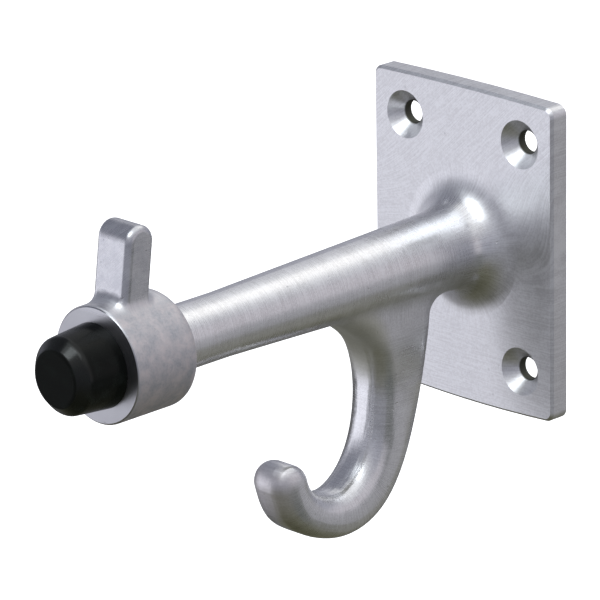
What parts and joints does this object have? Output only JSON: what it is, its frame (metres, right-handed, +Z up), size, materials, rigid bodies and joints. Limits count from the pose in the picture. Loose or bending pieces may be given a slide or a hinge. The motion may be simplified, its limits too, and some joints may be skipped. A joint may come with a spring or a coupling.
{
  "type": "wall door stop with hook",
  "caption": "Cast wall-mounted door stop: upright rectangular plate with countersunk screw holes, tapered arm, drum head with rubber bumper and upright finger, and a coat hook under the arm.",
  "frame": {"origin": "centre of the plate's back face, on the wall", "axes": "+Y into the wall, the arm stands out along -Y; +X across the plate; +Z up"},
  "size_m": [0.0508, 0.1202, 0.0882],
  "materials": {
    "cast_aluminium": "satin brushed casting",
    "black_rubber": "moulded, half matt"
  },
  "bodies": {
    "root": {"hook_casting": "cast_aluminium", "rubber_bumper": "black_rubber"}
  },
  "joints": []
}
